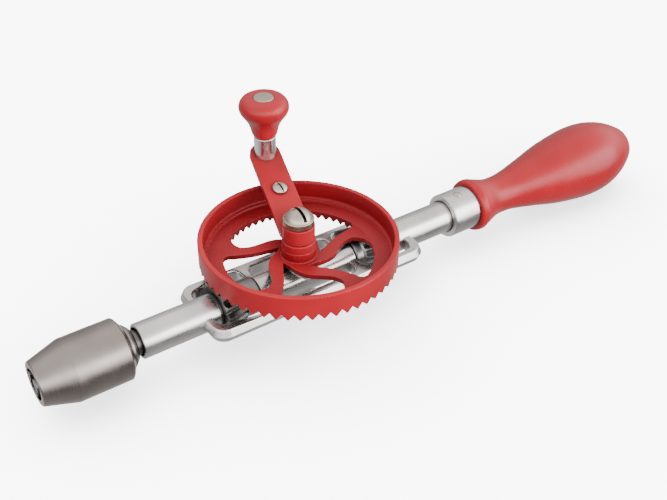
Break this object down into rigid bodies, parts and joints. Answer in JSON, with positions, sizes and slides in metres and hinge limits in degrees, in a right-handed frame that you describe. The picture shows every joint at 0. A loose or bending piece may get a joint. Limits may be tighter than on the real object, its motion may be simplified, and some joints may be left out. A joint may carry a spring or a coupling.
{
  "type": "hand drill",
  "caption": "Hand-cranked carpentry drill: a red bevel gear wheel with a knobbed crank turns a three-jaw chuck, on a flat metal frame with a turned red handle.",
  "frame": {"origin": "on the spindle line at the front ends of the chuck jaws", "axes": "+X along the spindle line towards the handle, +Z along the gear wheel's axle towards the crank's side, +Y to the side the crank points to at rest"},
  "size_m": [0.3064, 0.094, 0.0767],
  "materials": {
    "frame_nickel": "satin nickel plate",
    "bright_steel": "polished",
    "chuck_steel": "brushed, satin",
    "gear_steel": "machined",
    "screw_steel": "satin",
    "bush_bronze": "machined",
    "red_metal_paint": "gloss red paint",
    "red_wood_paint": "turned wood with gloss red paint"
  },
  "bodies": {
    "frame": {"frame_casting": "frame_nickel", "front_bush": "bush_bronze", "rear_bush": "bush_bronze", "thrust_washer": "gear_steel", "thrust_ball": "bright_steel", "idler_axle": "gear_steel", "idler_spacer": "gear_steel", "axle_screw": "screw_steel", "axle_washer": "gear_steel", "ferrule": "frame_nickel", "ferrule_pin": "screw_steel", "handle": "red_wood_paint"},
    "wheel": {"gear_wheel": "red_metal_paint", "crank_arm": "red_metal_paint", "arm_screw": "screw_steel", "knob_sleeve": "bright_steel", "knob_pin": "screw_steel"},
    "knob_body": {"knob": "red_wood_paint"},
    "spindle_body": {"spindle": "gear_steel", "drive_pinion": "gear_steel", "drive_pinion_pin": "gear_steel", "chuck_body": "chuck_steel"},
    "idler": {"idler_pinion": "gear_steel"},
    "chuck_sleeve": {"chuck_shell": "chuck_steel", "chuck_nut": "chuck_steel"},
    "jaw_a": {"jaw_1": "gear_steel"},
    "jaw_b": {"jaw_2": "gear_steel"},
    "jaw_c": {"jaw_3": "gear_steel"}
  },
  "joints": [
    {"name": "wheel_spin", "type": "hinge", "parent": "frame", "child": "wheel", "pos_m": [0.112, 0, 0], "axis": [0, 0, 1], "continuous": true},
    {"name": "spindle_spin", "type": "hinge", "parent": "frame", "child": "spindle_body", "pos_m": [0, 0, 0], "axis": [1, 0, 0], "continuous": true},
    {"name": "idler_spin", "type": "hinge", "parent": "frame", "child": "idler", "pos_m": [0.112, 0, 0], "axis": [1, 0, 0], "continuous": true},
    {"name": "knob_spin", "type": "hinge", "parent": "wheel", "child": "knob_body", "pos_m": [0.12365, 0.04347, 0.04], "axis": [0, 0, 1], "continuous": true},
    {"name": "chuck_turn", "type": "hinge", "parent": "spindle_body", "child": "chuck_sleeve", "pos_m": [0, 0, 0], "axis": [1, 0, 0], "range_deg": [-1440, 1200]},
    {"name": "jaw_1_slide", "type": "slide", "parent": "spindle_body", "child": "jaw_a", "axis": [0.9781, -0.1801, 0.104], "range_m": [-0.0061, 0.0052]},
    {"name": "jaw_2_slide", "type": "slide", "parent": "spindle_body", "child": "jaw_b", "axis": [0.9781, 0, -0.2079], "range_m": [-0.0061, 0.0052]},
    {"name": "jaw_3_slide", "type": "slide", "parent": "spindle_body", "child": "jaw_c", "axis": [0.9781, 0.1801, 0.104], "range_m": [-0.0061, 0.0052]}
  ],
  "couplings": [
    {"joint": "spindle_spin", "follows": "wheel_spin", "ratio": 3.6667},
    {"joint": "idler_spin", "follows": "wheel_spin", "ratio": -3.6667},
    {"joint": "jaw_1_slide", "follows": "chuck_turn", "m_per_rad": 0.00023873},
    {"joint": "jaw_2_slide", "follows": "chuck_turn", "m_per_rad": 0.00023873},
    {"joint": "jaw_3_slide", "follows": "chuck_turn", "m_per_rad": 0.00023873}
  ]
}
